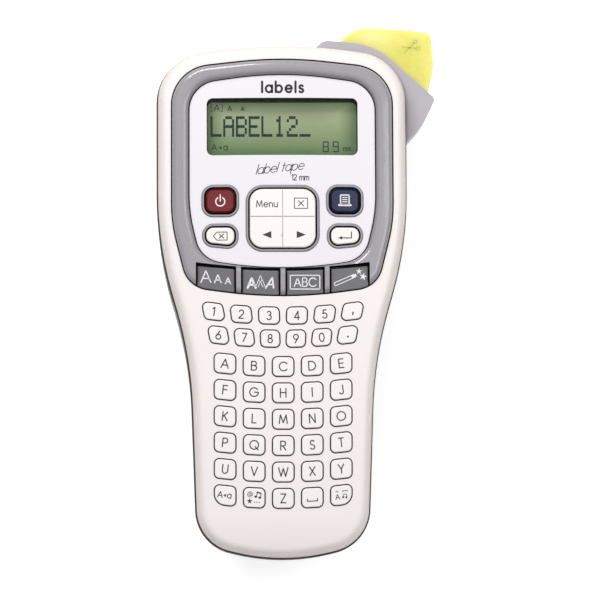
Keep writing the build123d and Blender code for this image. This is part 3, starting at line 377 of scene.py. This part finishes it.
# Geometric letterforms with a capital height of 1: width, then pen lines
LETTERS = {
    "A": (0.84, [line((0, 0), (0.42, 1), (0.84, 0)), line((0.13, 0.33), (0.71, 0.33))]),
    "B": (0.60, [line((0, 0), (0, 1), (0.32, 1), (0.32, 0.765, 0.23, 0.235, 90, -90), (0, 0.53)),
                 line((0.32, 0.53), (0.33, 0.265, 0.27, 0.265, 90, -90), (0, 0))]),
    "C": (0.88, [line((0.5, 0.5, 0.5, 0.5, 40, 320))]),
    "D": (0.78, [line((0, 0), (0, 1), (0.28, 1), (0.28, 0.5, 0.5, 0.5, 90, -90), (0, 0))]),
    "E": (0.52, [line((0.52, 1), (0, 1), (0, 0), (0.52, 0)), line((0, 0.52), (0.48, 0.52))]),
    "F": (0.48, [line((0.48, 1), (0, 1), (0, 0)), line((0, 0.53), (0.44, 0.53))]),
    "G": (1.0, [line((0.5, 0.5, 0.5, 0.5, 42, 360), (0.55, 0.5))]),
    "H": (0.64, [line((0, 0), (0, 1)), line((0.64, 0), (0.64, 1)), line((0, 0.53), (0.64, 0.53))]),
    "I": (0.0, [line((0, 0), (0, 1))]),
    "J": (0.42, [line((0.42, 1), (0.42, 0.22), (0.21, 0.22, 0.21, 0.22, 0, -170))]),
    "K": (0.56, [line((0, 0), (0, 1)), line((0.53, 1), (0.02, 0.43)), line((0.17, 0.6), (0.56, 0))]),
    "L": (0.46, [line((0, 1), (0, 0), (0.46, 0))]),
    "M": (0.92, [line((0, 0), (0.13, 1), (0.46, 0.1), (0.79, 1), (0.92, 0))]),
    "N": (0.64, [line((0, 0), (0, 1), (0.64, 0), (0.64, 1))]),
    "O": (1.0, [line((0.5, 0.5, 0.5, 0.5, 0, 360))]),
    "P": (0.56, [line((0, 0), (0, 1), (0.29, 1), (0.29, 0.73, 0.27, 0.27, 90, -90), (0, 0.46))]),
    "Q": (1.0, [line((0.5, 0.5, 0.5, 0.5, 0, 360)), line((0.6, 0.3), (0.98, -0.03))]),
    "R": (0.58, [line((0, 0), (0, 1), (0.29, 1), (0.29, 0.73, 0.27, 0.27, 90, -90), (0, 0.46)),
                 line((0.24, 0.46), (0.58, 0))]),
    "S": (0.54, [line((0.28, 0.745, 0.23, 0.255, 30, 270), (0.27, 0.245, 0.27, 0.245, 90, -150))]),
    "T": (0.54, [line((0, 1), (0.54, 1)), line((0.27, 1), (0.27, 0))]),
    "U": (0.62, [line((0, 1), (0, 0.31), (0.31, 0.31, 0.31, 0.31, 180, 360), (0.62, 1))]),
    "V": (0.72, [line((0, 1), (0.36, 0), (0.72, 1))]),
    "W": (1.08, [line((0, 1), (0.28, 0), (0.54, 0.9), (0.8, 0), (1.08, 1))]),
    "X": (0.62, [line((0, 1), (0.62, 0)), line((0, 0), (0.62, 1))]),
    "Y": (0.64, [line((0, 1), (0.32, 0.47), (0.64, 1)), line((0.32, 0.47), (0.32, 0))]),
    "Z": (0.58, [line((0.02, 1), (0.58, 1), (0, 0), (0.58, 0))]),
    "0": (0.58, [line((0.29, 0.5, 0.29, 0.5, 0, 360))]),
    "1": (0.22, [line((0, 0.82), (0.22, 1), (0.22, 0))]),
    "2": (0.54, [line((0.27, 0.72, 0.26, 0.28, 165, -38), (0, 0), (0.54, 0))]),
    "3": (0.54, [line((0.26, 0.765, 0.22, 0.235, 150, -90)),
                 line((0.26, 0.265, 0.27, 0.265, 90, -150))]),
    "4": (0.58, [line((0.43, 0), (0.43, 1), (0, 0.25), (0.58, 0.25))]),
    "5": (0.54, [line((0.5, 1), (0.14, 1), (0.07, 0.56), (0.26, 0.31, 0.28, 0.31, 128, -150))]),
    "6": (0.58, [line((0.40, 1), (0.05, 0.42)), line((0.29, 0.29, 0.29, 0.29, 0, 360))]),
    "7": (0.52, [line((0, 1), (0.52, 1), (0.15, 0))]),
    "8": (0.54, [line((0.27, 0.765, 0.21, 0.235, 0, 360)), line((0.27, 0.265, 0.27, 0.265, 0, 360))]),
    "9": (0.58, [line((0.29, 0.71, 0.29, 0.29, 0, 360)), line((0.53, 0.58), (0.18, 0))]),
    ",": (0.08, [line((0.06, 0.1), (0.06, 0.0), (0, -0.14))]),
    ".": (0.06, [line((0.03, 0.03, 0.03, 0.03, 0, 360))]),
    "@": (1.0, [line((0.5, 0.5, 0.2, 0.22, 0, 360)),
                line((0.7, 0.68), (0.7, 0.36), (0.83, 0.4, 0.13, 0.14, 200, 360),
                     (0.5, 0.5, 0.47, 0.5, 0, 300))]),
    "a": (0.60, [line((0.3, 0.34, 0.3, 0.34, 0, 360)), line((0.6, 0.68), (0.6, 0))]),
    "b": (0.60, [line((0.3, 0.34, 0.3, 0.34, 0, 360)), line((0, 1.05), (0, 0))]),
    "e": (0.60, [line((0.0, 0.35), (0.6, 0.35), (0.3, 0.34, 0.3, 0.34, 0, 318))]),
    "k": (0.46, [line((0, 0), (0, 1.05)), line((0.42, 0.68), (0.02, 0.28)), line((0.14, 0.4), (0.46, 0))]),
    "l": (0.0, [line((0, 0), (0, 1.05))]),
    "m": (0.84, [line((0, 0), (0, 0.68)), line((0, 0.46), (0.21, 0.47, 0.21, 0.21, 180, 0), (0.42, 0)),
                 line((0.42, 0.46), (0.63, 0.47, 0.21, 0.21, 180, 0), (0.84, 0))]),
    "n": (0.50, [line((0, 0), (0, 0.68)), line((0, 0.43), (0.25, 0.43, 0.25, 0.25, 180, 0), (0.5, 0))]),
    "p": (0.60, [line((0.3, 0.34, 0.3, 0.34, 0, 360)), line((0, 0.68), (0, -0.35))]),
    "r": (0.28, [line((0, 0), (0, 0.68)), line((0, 0.42), (0.24, 0.42, 0.24, 0.26, 180, 75))]),
    "s": (0.38, [line((0.2, 0.51, 0.17, 0.17, 35, 270), (0.19, 0.17, 0.19, 0.17, 90, -145))]),
    "t": (0.30, [line((0.15, 0), (0.15, 0.95)), line((0, 0.66), (0.3, 0.66))]),
    "u": (0.50, [line((0, 0.68), (0, 0.25), (0.25, 0.25, 0.25, 0.25, 180, 360), (0.5, 0.68)),
                 line((0.5, 0.3), (0.5, 0))]),
    "-": (0.44, [line((0, 0.42), (0.44, 0.42))]),
    " ": (0.25, []),
}


def letter_lines(letter, size, x, y):
    """Pen lines of one letter, the foot of its left side at (x, y)."""
    return [[(px * size + x, py * size + y) for px, py in stroke] for stroke in LETTERS[letter][1]]


def word_lines(words, height, gap=0.26, shear=0.0, widen=1.0):
    """Pen lines of a word, centred on the middle of its capitals."""
    lines, x = [], 0.0
    for letter in words:
        width, strokes = LETTERS[letter]
        lines += [[(x + px * widen + shear * py, py) for px, py in stroke] for stroke in strokes]
        x += width * widen + gap
    total = x - gap
    return [[((px - total / 2) * height, (py - 0.5) * height) for px, py in stroke] for stroke in lines]


def resampled(points):
    """The same line with no run longer than STROKE_STEP."""
    result = [points[0]]
    for (x0, y0), (x1, y1) in zip(points, points[1:]):
        count = max(1, math.ceil(math.hypot(x1 - x0, y1 - y0) / STROKE_STEP))
        result += [(x0 + (x1 - x0) * i / count, y0 + (y1 - y0) * i / count) for i in range(1, count + 1)]
    return result


def smooth_runs(points):
    """Splits a line at its sharp corners, so that each run keeps its full width."""
    runs, run = [], [points[0]]
    for before, here, after in zip(points, points[1:], points[2:]):
        run.append(here)
        first = math.atan2(here[1] - before[1], here[0] - before[0])
        second = math.atan2(after[1] - here[1], after[0] - here[0])
        if abs((second - first + math.pi) % math.tau - math.pi) > SHARP_CORNER:
            runs.append(run)
            run = [here]
    run.append(points[-1])
    return runs + [run]


class Print:
    """Flat printed marks draped over one CAD node and riding with its body."""

    def __init__(self, node, name, mat, slot, thickness=0.03):
        self.node, self.name, self.mat, self.slot = node, name, mat, slot
        mesh = nodes[node].data
        self.tree = BVHTree.FromPolygons([v.co for v in mesh.vertices], [p.vertices for p in mesh.polygons])
        self.thickness = thickness
        self.points, self.faces = [], []

    def height(self, x, y):
        """How high the node's top face stands at a place, all in mm."""
        hit = self.tree.ray_cast(Vector((x * MM, y * MM, 0.1)), Vector((0, 0, -1)))[0]
        return hit.z / MM if hit else None

    def add(self, points, faces, at, turn=0.0):
        """Adds a flat mesh (points in mm, z as height above the surface) at a place on the node."""
        base = len(self.points)
        c, s = math.cos(turn), math.sin(turn)
        middle = self.height(*at)
        for x, y, z in points:
            px, py = at[0] + x * c - y * s, at[1] + x * s + y * c
            ground = self.height(px, py)
            ground = middle if ground is None else ground
            self.points.append((px * MM, py * MM, (ground + z) * MM))
        self.faces += [[base + i for i in face] for face in faces]

    def lines(self, strokes, at, width, turn=0.0):
        """Pen lines as flat ribbons with rounded ends and corners."""
        for stroke in strokes:
            for run in smooth_runs(stroke):
                self.ribbon(resampled(run), at, width / 2, turn)

    def ribbon(self, run, at, half, turn):
        """One run of a pen line, half to each side: a closed band, or a strip with round ends."""
        closed = math.dist(run[0], run[-1]) < 1e-6
        if closed:
            run = run[:-1]
        left, right = [], []
        for i, here in enumerate(run):
            before = run[i - 1] if i or closed else here
            after = run[(i + 1) % len(run)] if i + 1 < len(run) or closed else here
            dx, dy = after[0] - before[0], after[1] - before[1]
            size = math.hypot(dx, dy) or 1.0
            nx, ny = -dy / size * half, dx / size * half
            left.append((here[0] + nx, here[1] + ny))
            right.append((here[0] - nx, here[1] - ny))
        if closed:
            self.band(left, right, at, turn)
            return

        def cap(centre, start):
            angle = math.atan2(start[1] - centre[1], start[0] - centre[0])
            angles = [angle - math.pi * i / (CAP_POINTS + 1) for i in range(1, CAP_POINTS + 1)]
            return [(centre[0] + half * math.cos(a), centre[1] + half * math.sin(a)) for a in angles]

        outline = left + cap(run[-1], left[-1]) + right[::-1] + cap(run[0], right[0])
        self.strip(outline, len(left), at, turn)

    def layered(self, outline):
        """The outline just below the surface, and again just above it."""
        low = [(x, y, -self.thickness) for x, y in outline]
        return low + [(x, y, self.thickness) for x, y in outline]

    def strip(self, outline, count, at, turn):
        """A ribbon: quads between its two sides, and a fan at each rounded end."""
        n = len(outline)
        left = list(range(count))
        right = [2 * count + CAP_POINTS - 1 - i for i in range(count)]
        top = [[left[i], right[i], right[i + 1], left[i + 1]] for i in range(count - 1)]
        top.append([left[-1], right[-1]] + list(range(count + CAP_POINTS - 1, count - 1, -1)))
        top.append([right[0], left[0]] + list(range(n - 1, 2 * count + CAP_POINTS - 1, -1)))
        faces = [[n + i for i in face] for face in top] + [face[::-1] for face in top]
        faces += [[i, n + i, n + (i + 1) % n, (i + 1) % n] for i in range(n)]
        self.add(self.layered(outline), faces, at, turn)

    def band(self, left, right, at, turn):
        """A closed ribbon, such as a ring."""
        n = len(left)
        faces = []
        for i in range(n):
            j = (i + 1) % n
            a, b, c, d = i, j, n + j, n + i
            up = 2 * n
            faces += [[up + a, up + d, up + c, up + b], [a, b, c, d]]
            faces += [[a, up + a, up + b, b], [d, c, up + c, up + d]]
        self.add(self.layered(left + right), faces, at, turn)

    def area(self, outline, at, turn=0.0):
        """A filled shape."""
        n = len(outline)
        faces = [list(range(n, 2 * n)), list(range(n - 1, -1, -1))]
        faces += [[i, (i + 1) % n, n + (i + 1) % n, n + i] for i in range(n)]
        self.add(self.layered(outline), faces, at, turn)

    def word(self, words, at, height, pen, turn=0.0, **options):
        """A word in pen lines, centred at a place."""
        self.lines(word_lines(words, height, **options), at, pen, turn)

    def finish(self):
        """Makes the piece, which rides with the node's body."""
        mesh = bpy.data.meshes.new(self.name)
        mesh.from_pydata(self.points, [], self.faces)
        build = bmesh.new()
        build.from_mesh(mesh)
        bmesh.ops.recalc_face_normals(build, faces=build.faces)
        build.to_mesh(mesh)
        build.free()
        mesh.materials.append(self.mat)
        piece = bpy.data.objects.new(self.name, mesh)
        bpy.context.scene.collection.objects.link(piece)
        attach(piece, nodes[self.node]["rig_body"])


def box_line(width, height, centre=(0, 0)):
    """A rectangle as one closed line."""
    (x, y), w, h = centre, width / 2, height / 2
    return [(x - w, y - h), (x + w, y - h), (x + w, y + h), (x - w, y + h), (x - w, y - h)]


def oval(x, y, rx, ry=None):
    """Outline of a filled oval or disc, which stops one step short of where it began."""
    return arc(x, y, rx, ry or rx, 0, 360 - ARC_STEP)


def star(x, y, radius, inner=0.4, turn=90.0):
    """A five-pointed star, its inner corners at a share of the radius."""
    corners = []
    for i in range(10):
        r = radius if i % 2 == 0 else radius * inner
        a = math.radians(turn + 36 * i)
        corners.append((x + r * math.cos(a), y + r * math.sin(a)))
    return corners


def parts_centres(node):
    """Centre of each separate solid in a node, from left to right, in mm."""
    mesh = nodes[node].data
    build = bmesh.new()
    build.from_mesh(mesh)
    bmesh.ops.remove_doubles(build, verts=build.verts, dist=1e-7)
    left, centres = set(build.verts), []
    while left:
        group, todo = [], [left.pop()]
        while todo:
            vert = todo.pop()
            group.append(vert.co)
            for edge in vert.link_edges:
                other = edge.other_vert(vert)
                if other in left:
                    left.remove(other)
                    todo.append(other)
        xs, ys = [p.x for p in group], [p.y for p in group]
        centres.append(((min(xs) + max(xs)) / 2 / MM, (min(ys) + max(ys)) / 2 / MM))
    build.free()
    return sorted(centres)


def middle_of(node):
    """Middle of a node's box, seen from the front, in mm."""
    low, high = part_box(node)
    return ((low.x + high.x) / 2 / MM, (low.y + high.y) / 2 / MM)


ROW_ARC_RADIUS = 200.0  # of the arched key rows
KEY_PEN = 0.43
STOP_PEN = 0.55
NUMBER_HEIGHT = 3.2
LETTER_HEIGHT = 3.35
STOP_RISE = 0.8  # comma and full stop stand above the foot of the numbers


def row_turn(x):
    """How far a key on an arched row leans."""
    return math.atan(x / ROW_ARC_RADIUS)


def print_symbols(marks, at, kind):
    """Marks on the last row that aren't letters: letter case, symbols, space and accents."""
    turn = row_turn(at[0])
    if kind == "case":
        marks.lines(letter_lines("A", 2.2, -2.9, -0.9), at, 0.33, turn)
        marks.area([(-0.75, 0), (0.35, -0.65), (0.35, 0.65)], at, turn)
        marks.lines(letter_lines("a", 2.3, 0.9, -0.9), at, 0.33, turn)
    elif kind == "symbols":
        marks.lines(letter_lines("@", 2.0, -2.7, 0.2), at, 0.22, turn)
        marks.lines([line((0.95, 0.4), (0.95, 2.3), (2.5, 1.9), (2.5, 0.1))], at, 0.28, turn)
        marks.lines([line((0.95, 2.1), (2.5, 1.7))], at, 0.4, turn)
        marks.area(oval(0.5, 0.4, 0.52, 0.42), at, turn)
        marks.area(oval(2.05, 0.1, 0.52, 0.42), at, turn)
        marks.area(star(-1.7, -1.4, 1.15), at, turn)
        for x in (0.2, 1.1, 2.0):
            marks.area(oval(x, -1.7, 0.2), at, turn)
    elif kind == "space":
        marks.lines([line((-1.95, -0.45), (-1.95, -1.35), (1.95, -1.35), (1.95, -0.45))], at, 0.36, turn)
    elif kind == "accents":
        marks.lines(letter_lines("A", 1.9, -2.3, -1.5), at, 0.28, turn)
        marks.lines([line((-1.9, 1.8), (-1.2, 1.3))], at, 0.3, turn)
        marks.lines([line((0.5, 1.5), (1.3, 1.5)), line((1.7, 1.5), (2.5, 1.5))], at, 0.3, turn)
        marks.lines([line((0.9, -0.9), (0.9, 0.3), (2.1, 0.1), (2.1, -1.1))], at, 0.22, turn)
        marks.area(oval(0.6, -0.9, 0.38), at, turn)
        marks.area(oval(1.8, -1.1, 0.38), at, turn)


ROWS = {
    "number_keys_upper": "12345,",
    "number_keys_lower": "67890.",
    "letter_keys_row_1": "ABCDE",
    "letter_keys_row_2": "FGHIJ",
    "letter_keys_row_3": "KLMNO",
    "letter_keys_row_4": "PQRST",
    "letter_keys_row_5": "UVWXY",
    "letter_keys_row_6": ("case", "symbols", "Z", "space", "accents"),
}


def print_row(node, legends):
    """One arched row of keys, printed from left to right."""
    marks = Print(node, node + "_legends", INK_DARK, "white_key")
    height = NUMBER_HEIGHT if node.startswith("number") else LETTER_HEIGHT
    for legend, at in zip(legends, parts_centres(node)):
        if legend in (",", "."):
            marks.word(legend, (at[0], at[1] + STOP_RISE), height, STOP_PEN, row_turn(at[0]))
        elif len(legend) == 1:
            marks.word(legend, at, height, KEY_PEN, row_turn(at[0]))
        else:
            print_symbols(marks, at, legend)
    marks.finish()


def print_panel_keys():
    """Icons of the four keys beside the menu pad, and the legends of the pad."""
    at = middle_of("power_key")
    marks = Print("power_key", "power_icon", INK_WHITE, "power_key")
    marks.lines([arc(0, -0.3, 1.75, 1.75, 125, 415), line((0, -0.1), (0, 2.3))], at, 0.5)
    marks.finish()

    at = middle_of("print_key")
    marks = Print("print_key", "print_icon", INK_WHITE, "print_key")
    marks.lines([box_line(3.3, 3.7, (0, 0.35))], at, 0.5)
    marks.lines([line((-0.85, y), (0.85, y)) for y in (1.25, 0.4, -0.45)], at, 0.4)
    marks.lines([line((-2.3, -1.75), (2.3, -1.75))], at, 0.75)
    marks.finish()

    at = middle_of("backspace_key")
    marks = Print("backspace_key", "backspace_icon", INK_DARK, "white_key")
    outline = line((-2.7, 0), (-1.35, 1.55), (2.6, 1.55), (2.6, -1.55), (-1.35, -1.55), (-2.7, 0))
    marks.lines([outline], at, 0.3)
    marks.lines([line((-0.45, 0.85), (1.35, -0.85)), line((-0.45, -0.85), (1.35, 0.85))], at, 0.34)
    marks.finish()

    at = middle_of("enter_key")
    marks = Print("enter_key", "enter_icon", INK_DARK, "white_key")
    marks.lines([line((2.5, 1.6), (2.5, -0.75), (-1.5, -0.75))], at, 0.38)
    marks.area([(-2.6, -0.75), (-1.1, -1.45), (-1.1, -0.05)], at)
    marks.finish()

    at = middle_of("menu_pad")
    marks = Print("menu_pad", "menu_legends", INK_DARK, "white_key")
    marks.word("Menu", (at[0] - 6.1, at[1] + 5.6), 2.5, 0.33, gap=0.24)
    marks.lines([box_line(5.1, 4.0, (7.1, 5.8))], at, 0.3)
    marks.lines([line((6.1, 6.8), (8.1, 4.8)), line((6.1, 4.8), (8.1, 6.8))], at, 0.34)
    marks.area([(-7.9, -6.4), (-4.4, -7.8), (-4.4, -5.0)], at)
    marks.area([(8.9, -6.4), (5.4, -5.0), (5.4, -7.8)], at)
    marks.finish()


def print_function_keys():
    """Text size, text style, frame and decoration."""
    at = middle_of("text_size_key")
    marks = Print("text_size_key", "text_size_legend", INK_WHITE, "function_key")
    for x, y, size in ((-3.9, 1.0, 4.5), (0.7, 0.1, 3.1), (4.6, -0.7, 2.4)):
        marks.word("A", (at[0] + x, at[1] + y), size, 0.46)
    marks.finish()

    at = middle_of("text_style_key")
    marks = Print("text_style_key", "text_style_legend", INK_WHITE, "function_key")
    marks.word("A", (at[0] - 3.5, at[1] - 0.3), 3.7, 0.85)
    outer = line((-2.0, -1.9), (-0.1, 2.6), (1.8, -1.9))
    inner = line((-1.0, -1.9), (-0.1, 0.4), (0.8, -1.9))
    marks.lines([outer, inner], at, 0.26)
    marks.lines([line((-0.7, 0.9), (-0.1, -0.1), (0.5, 0.9))], at, 0.22)
    marks.word("A", (at[0] + 3.4, at[1] - 0.2), 4.0, 0.62, shear=0.28, widen=0.9)
    marks.finish()

    at = middle_of("frame_key")
    marks = Print("frame_key", "frame_legend", INK_WHITE, "function_key")
    marks.word("ABC", at, 3.3, 0.42, gap=0.2, widen=0.92)
    marks.lines([box_line(11.4, 5.3)], at, 0.4)
    marks.finish()

    at = middle_of("decoration_key")
    marks = Print("decoration_key", "decoration_legend", INK_WHITE, "function_key")
    wand = math.radians(24)
    marks.lines([box_line(8.4, 1.2, (-2.0, 0.3))], at, 0.32, wand)
    marks.area([(1.0, -0.25), (3.0, -0.25), (3.0, 0.85), (1.0, 0.85)], at, wand)
    marks.area(star(3.7, 2.9, 1.35, 0.36), at)
    marks.area(star(5.3, 0.9, 1.65, 0.36, 78), at)
    marks.finish()


def print_panel():
    """Generic words above and below the display."""
    x, y = middle_of("display_window")
    marks = Print("display_panel", "panel_words", INK_BLACK, "panel")
    marks.word("labels", (x + 0.2, y + 15.4), 4.0, 0.86, gap=0.36)
    marks.word("label tape", (x - 1.3, y - 16.1), 3.5, 0.27, math.radians(6), gap=0.12, shear=0.42)
    marks.word("12 mm", (x + 6.9, y - 20.0), 2.2, 0.30, gap=0.17, widen=0.86)
    marks.finish()


for row, legends in ROWS.items():
    print_row(row, legends)
print_panel_keys()
print_function_keys()
print_panel()

# ---------------------------------------------------------------- display content
DOTS = {
    "L": "10000 10000 10000 10000 10000 10000 11111",
    "A": "01110 10001 10001 11111 10001 10001 10001",
    "B": "11110 10001 10001 11110 10001 10001 11110",
    "E": "11111 10000 10000 11110 10000 10000 11111",
    "1": "00100 01100 00100 00100 00100 00100 01110",
    "2": "01110 10001 00001 00110 01000 10000 11111",
    "_": "00000 00000 00000 00000 00000 00000 11111",
}
DOT_PITCH = (0.86, 1.16)
DOT_FILL = (0.98, 0.97)  # share of the pitch that a dot covers
CHARACTER_PITCH = 4.95
FIRST_DOT = (-27.4, 4.7)  # from the middle of the glass
INDICATOR_RISE = 8.6  # middle of the marks above the text
STATUS_DROP = 6.9  # middle of the marks below it
SEGMENTS = {
    "a": [(-0.8, 1.9), (0.8, 1.9)], "b": [(0.95, 1.7), (0.95, 0.2)], "c": [(0.95, -0.2), (0.95, -1.7)],
    "d": [(-0.8, -1.9), (0.8, -1.9)], "e": [(-0.95, -0.2), (-0.95, -1.7)],
    "f": [(-0.95, 1.7), (-0.95, 0.2)], "g": [(-0.8, 0), (0.8, 0)],
}


def print_display():
    """Dot-matrix line of text, and the small indicators above and below it."""
    x0, y0 = middle_of("lcd_glass")
    marks = Print("lcd_glass", "display_text", INK_LCD, "lcd", 0.02)
    w, h = DOT_PITCH[0] * DOT_FILL[0] / 2, DOT_PITCH[1] * DOT_FILL[1] / 2
    for place, letter in enumerate("LABEL12_"):
        for j, row in enumerate(DOTS[letter].split()):
            for i, bit in enumerate(row):
                if bit == "1":
                    x = x0 + FIRST_DOT[0] + place * CHARACTER_PITCH + i * DOT_PITCH[0]
                    y = y0 + FIRST_DOT[1] - j * DOT_PITCH[1]
                    marks.area([(-w, -h), (w, -h), (w, h), (-w, h)], (x, y))
    top = y0 + INDICATOR_RISE
    for x, direction in ((-27.5, 1), (-23.2, -1)):
        inner = x + 0.5 * direction
        marks.lines([line((inner, 1.5), (x, 1.5), (x, -1.5), (inner, -1.5))], (x0, top), 0.25)
    for x, size in ((-25.35, 2.4), (-20.3, 1.9), (-15.3, 1.5)):
        marks.word("A", (x0 + x, top - (2.4 - size) / 2), size, 0.3)
    low = y0 - STATUS_DROP
    marks.word("A", (x0 - 26.4, low), 2.2, 0.32)
    marks.area([(-0.7, 0), (0.55, -0.6), (0.55, 0.6)], (x0 - 24.1, low - 0.2))
    marks.word("a", (x0 - 22.0, low + 0.1), 2.4, 0.32)
    marks.word("mm", (x0 + 25.4, low - 0.5), 2.0, 0.26, gap=0.2, widen=0.72)
    for x, shown in ((17.0, "abcdefg"), (20.9, "abcdfg")):
        marks.lines([SEGMENTS[s] for s in shown], (x0 + x, low + 0.2), 0.42)
    marks.finish()


print_display()


def print_scissors():
    """Cutter mark moulded on the lever's corner."""
    low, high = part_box("cutter_lever")
    marks = Print("cutter_lever", "cutter_icon", FINISHES["lever_mark"].mat, "lever_plastic", 0.06)
    at = (high.x / MM - 9.4, high.y / MM - 8.0)
    turn = math.radians(20)
    marks.lines([line((-2.6, 1.3), (2.4, -1.1)), line((-2.6, -1.3), (2.4, 1.1))], at, 0.42, turn)
    marks.lines([arc(3.1, 1.4, 0.8, 0.65, 0, 360), arc(3.1, -1.4, 0.8, 0.65, 0, 360)], at, 0.34, turn)
    marks.finish()


print_scissors()

# ---------------------------------------------------------------- camera, floor and light
TILT = math.radians(5.0)  # the camera stands a little towards the grip end
SIDE = math.radians(1.5)  # and a little to the left
ROLL = math.radians(-0.22)
SENSOR = 36.0
DISTANCE = 1.5
VIEW_WIDTH = 0.234  # what the picture is wide at the target
TARGET = Vector((0.0070, 0.0010, 0.040))
LIT_POINT = Vector((0, 0, 0.03))
HORIZON_LIGHT = 0.06
OVERHEAD_LIGHT = 0.76
camera = bpy.data.objects.new("camera", bpy.data.cameras.new("camera"))
camera.data.sensor_width = SENSOR
camera.data.lens = SENSOR * DISTANCE / VIEW_WIDTH
camera.data.clip_start = 0.05
camera.data.clip_end = 20.0
turn = Matrix.Rotation(-SIDE, 4, "Y") @ Matrix.Rotation(TILT, 4, "X") @ Matrix.Rotation(ROLL, 4, "Z")
camera.matrix_world = Matrix.Translation(TARGET) @ turn @ Matrix.Translation((0, 0, DISTANCE))
bpy.context.scene.collection.objects.link(camera)
bpy.context.scene.camera = camera


def lay_floor():
    """White paper that glows a little, so that it stays white under the machine."""
    mesh = bpy.data.meshes.new("floor")
    reach = 3.0
    corners = [(-reach, -reach, 0), (reach, -reach, 0), (reach, reach, 0), (-reach, reach, 0)]
    mesh.from_pydata(corners, [], [(0, 1, 2, 3)])
    floor = bpy.data.objects.new("floor", mesh)
    floor.location.z = -0.0002
    bpy.context.scene.collection.objects.link(floor)
    paper = Finish("paper_floor", (0.93, 0.93, 0.93), 0.8)
    paper.tint(0.01, 5.0)
    paper.shader.inputs["Emission Color"].default_value = (1, 1, 1, 1)
    paper.shader.inputs["Emission Strength"].default_value = 0.48
    mesh.materials.append(paper.mat)


def studio_world():
    """A pale tent: bright overhead, dimmer towards the horizon."""
    world = bpy.data.worlds.new("studio")
    world.use_nodes = True
    tree = world.node_tree
    direction = tree.nodes.new("ShaderNodeTexCoord").outputs["Generated"]
    split = tree.nodes.new("ShaderNodeSeparateXYZ")
    tree.links.new(direction, split.inputs[0])
    climb = tree.nodes.new("ShaderNodeMapRange")
    climb.interpolation_type = "SMOOTHSTEP"
    tree.links.new(split.outputs["Z"], climb.inputs[0])
    for index, number in ((1, 0.0), (2, 0.85), (3, HORIZON_LIGHT), (4, OVERHEAD_LIGHT)):
        climb.inputs[index].default_value = number
    background = tree.nodes["Background"]
    background.inputs["Color"].default_value = (1.0, 0.99, 0.985, 1)
    tree.links.new(climb.outputs[0], background.inputs["Strength"])
    bpy.context.scene.world = world


def soft_light(name, place, size, power):
    """A large white area light that looks at the middle of the machine."""
    light = bpy.data.lights.new(name, "AREA")
    light.shape = "RECTANGLE"
    light.size, light.size_y = size
    light.energy = power
    holder = bpy.data.objects.new(name, light)
    holder.location = place
    holder.rotation_euler = (LIT_POINT - Vector(place)).to_track_quat("-Z", "Y").to_euler()
    bpy.context.scene.collection.objects.link(holder)


lay_floor()
studio_world()
soft_light("key_light", (-0.45, 1.1, 0.95), (0.7, 0.45), 13.2)
soft_light("fill_light", (0.8, 0.1, 1.1), (0.7, 0.7), 3.6)

bpy.context.scene.view_settings.view_transform = "Standard"
